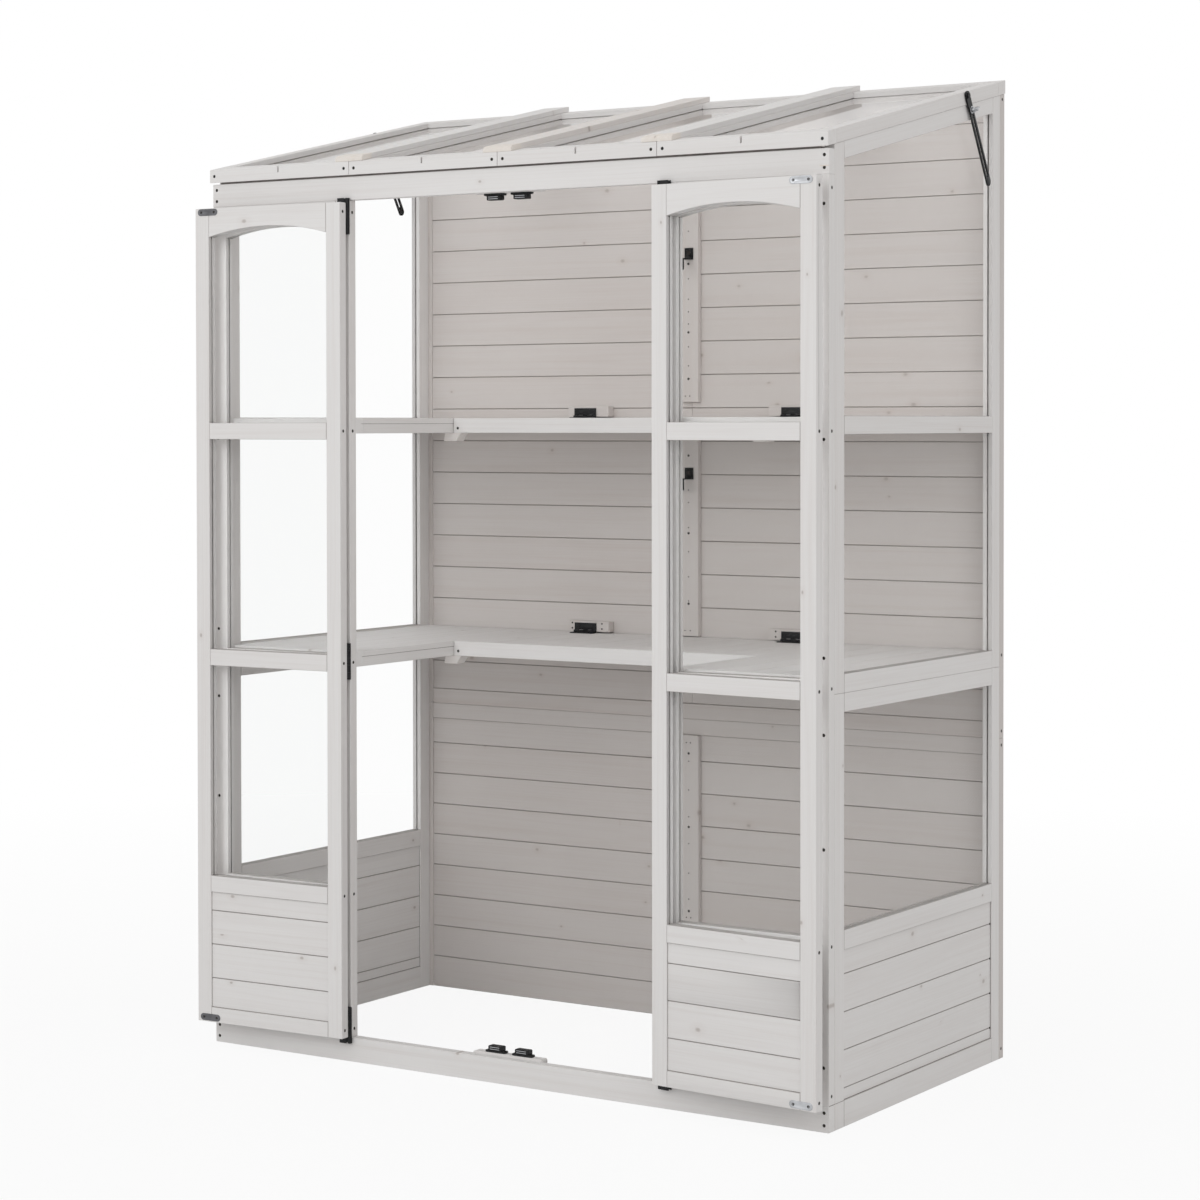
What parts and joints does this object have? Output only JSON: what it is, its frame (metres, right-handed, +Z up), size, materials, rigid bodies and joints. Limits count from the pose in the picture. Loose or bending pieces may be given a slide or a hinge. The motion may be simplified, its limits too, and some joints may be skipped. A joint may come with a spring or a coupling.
{
  "type": "wooden mini greenhouse",
  "caption": "Lean-to timber greenhouse cabinet with glazed walls, swinging doors, propped roof vents and slatted shelves with folding middle leaves.",
  "frame": {"origin": "on the floor, midway between the side walls and in the plane of the fixed front panels' face", "axes": "+X to the right as one faces the doors, +Y into the depth towards the back wall, +Z up"},
  "size_m": [1.482, 0.8276, 1.9908],
  "materials": {
    "painted_timber": "thin warm white stain over planed softwood, the grain showing through",
    "raw_timber": "bare planed softwood",
    "clear_pane": "clear polished sheet",
    "black_hardware": "black coating, half gloss",
    "bright_steel": "zinc plated",
    "dark_screws": "dark coating, dull",
    "black_plastic": "moulded, dull"
  },
  "bodies": {
    "cabinet": {"back_wall_centre_strips": "painted_timber", "back_wall_frame": "painted_timber", "back_wall_left_boards": "painted_timber", "back_wall_right_boards": "painted_timber", "door_hinge_fixed_leaves": "black_hardware", "frame_screws": "dark_screws", "front_base_rail": "painted_timber", "front_header_rail": "painted_timber", "hinge_pins": "black_hardware", "left_fixed_panel_frame": "painted_timber", "left_side_wall_frame": "painted_timber", "magnetic_catches": "black_plastic", "middle_roof_batten": "painted_timber", "middle_roof_frames": "painted_timber", "middle_roof_glazing": "clear_pane", "mounting_blocks": "painted_timber", "right_fixed_panel_frame": "painted_timber", "right_side_wall_frame": "painted_timber", "shelf_hinge_wall_leaves": "black_hardware", "shelf_ledge_blocks": "raw_timber", "side_shelf_boards": "painted_timber", "side_shelf_frames": "painted_timber", "vent_hinge_wall_leaves": "black_hardware", "wall_boards": "painted_timber", "wall_glazing": "clear_pane"},
    "left_door": {"left_door_frame": "painted_timber", "left_door_boards": "painted_timber", "left_door_glazing": "clear_pane", "left_door_hinge_leaves": "black_hardware", "left_door_strike_plates": "bright_steel", "left_door_screws": "dark_screws"},
    "left_vent": {"left_vent_frame": "painted_timber", "left_vent_glazing": "clear_pane", "left_vent_batten": "painted_timber", "left_vent_leaves_and_screws": "black_hardware"},
    "left_stay": {"left_stay": "black_hardware"},
    "left_stay_bolt": {"left_stay_bolt": "bright_steel"},
    "left_wing_nut": {"left_wing_nut": "bright_steel"},
    "right_door": {"right_door_frame": "painted_timber", "right_door_boards": "painted_timber", "right_door_glazing": "clear_pane", "right_door_hinge_leaves": "black_hardware", "right_door_strike_plates": "bright_steel", "right_door_screws": "dark_screws"},
    "right_vent": {"right_vent_frame": "painted_timber", "right_vent_glazing": "clear_pane", "right_vent_batten": "painted_timber", "right_vent_leaves_and_screws": "black_hardware"},
    "right_stay": {"right_stay": "black_hardware"},
    "right_stay_bolt": {"right_stay_bolt": "bright_steel"},
    "right_wing_nut": {"right_wing_nut": "bright_steel"},
    "lower_folding_shelf": {"lower_folding_shelf_frame": "painted_timber", "lower_folding_shelf_boards": "painted_timber", "lower_folding_shelf_hinge_leaves": "black_hardware"},
    "lower_shelf_catch": {"lower_shelf_catch": "black_hardware"},
    "upper_folding_shelf": {"upper_folding_shelf_frame": "painted_timber", "upper_folding_shelf_boards": "painted_timber", "upper_folding_shelf_hinge_leaves": "black_hardware"},
    "upper_shelf_catch": {"upper_shelf_catch": "black_hardware"}
  },
  "joints": [
    {"name": "left_door_hinge", "type": "hinge", "parent": "cabinet", "child": "left_door", "pos_m": [-0.366, -0.0053, 0], "axis": [0, 0, 1], "range_deg": [-2, 177.9]},
    {"name": "right_door_hinge", "type": "hinge", "parent": "cabinet", "child": "right_door", "pos_m": [0.366, -0.0053, 0], "axis": [0, 0, -1], "range_deg": [-4.5, 175.1]},
    {"name": "left_vent_hinge", "type": "hinge", "parent": "cabinet", "child": "left_vent", "pos_m": [-0.541, 0.7593, 1.9526], "axis": [-1, 0, 0], "range_deg": [0, 45]},
    {"name": "left_stay_swing", "type": "hinge", "parent": "left_vent", "child": "left_stay", "pos_m": [-0.726, 0.569, 1.93148], "axis": [1, 0, 0], "range_deg": [0, 6.2]},
    {"name": "left_stay_bolt_slide", "type": "slide", "parent": "left_stay", "child": "left_stay_bolt", "axis": [0, 0.512, -0.859], "range_m": [0, 0.1397]},
    {"name": "left_wing_nut_turn", "type": "hinge", "parent": "left_stay_bolt", "child": "left_wing_nut", "pos_m": [-0.734, 0.58498, 1.90468], "axis": [1, 0, 0], "continuous": true},
    {"name": "right_vent_hinge", "type": "hinge", "parent": "cabinet", "child": "right_vent", "pos_m": [0.541, 0.7593, 1.9526], "axis": [-1, 0, 0], "range_deg": [0, 45]},
    {"name": "right_stay_swing", "type": "hinge", "parent": "right_vent", "child": "right_stay", "pos_m": [0.726, 0.569, 1.93148], "axis": [1, 0, 0], "range_deg": [0, 6.2]},
    {"name": "right_stay_bolt_slide", "type": "slide", "parent": "right_stay", "child": "right_stay_bolt", "axis": [0, 0.512, -0.859], "range_m": [0, 0.1397]},
    {"name": "right_wing_nut_turn", "type": "hinge", "parent": "right_stay_bolt", "child": "right_wing_nut", "pos_m": [0.734, 0.58498, 1.90468], "axis": [1, 0, 0], "continuous": true},
    {"name": "lower_folding_shelf_hinge", "type": "hinge", "parent": "cabinet", "child": "lower_folding_shelf", "pos_m": [0, 0.7095, 0.8315], "axis": [-1, 0, 0], "range_deg": [0, 85]},
    {"name": "lower_shelf_catch_turn", "type": "hinge", "parent": "cabinet", "child": "lower_shelf_catch", "pos_m": [0, 0.722, 1.18175], "axis": [0, 1, 0], "range_deg": [-90, 90]},
    {"name": "upper_folding_shelf_hinge", "type": "hinge", "parent": "cabinet", "child": "upper_folding_shelf", "pos_m": [0, 0.7095, 1.3035], "axis": [-1, 0, 0], "range_deg": [0, 85]},
    {"name": "upper_shelf_catch_turn", "type": "hinge", "parent": "cabinet", "child": "upper_shelf_catch", "pos_m": [0, 0.722, 1.65375], "axis": [0, 1, 0], "range_deg": [-90, 90]}
  ],
  "couplings": [
    {"joint": "left_stay_swing", "follows": "left_vent_hinge", "ratio": 0.12823},
    {"joint": "left_stay_bolt_slide", "follows": "left_vent_hinge", "m_per_rad": 0.17593},
    {"joint": "right_stay_swing", "follows": "right_vent_hinge", "ratio": 0.12823},
    {"joint": "right_stay_bolt_slide", "follows": "right_vent_hinge", "m_per_rad": 0.17593}
  ]
}
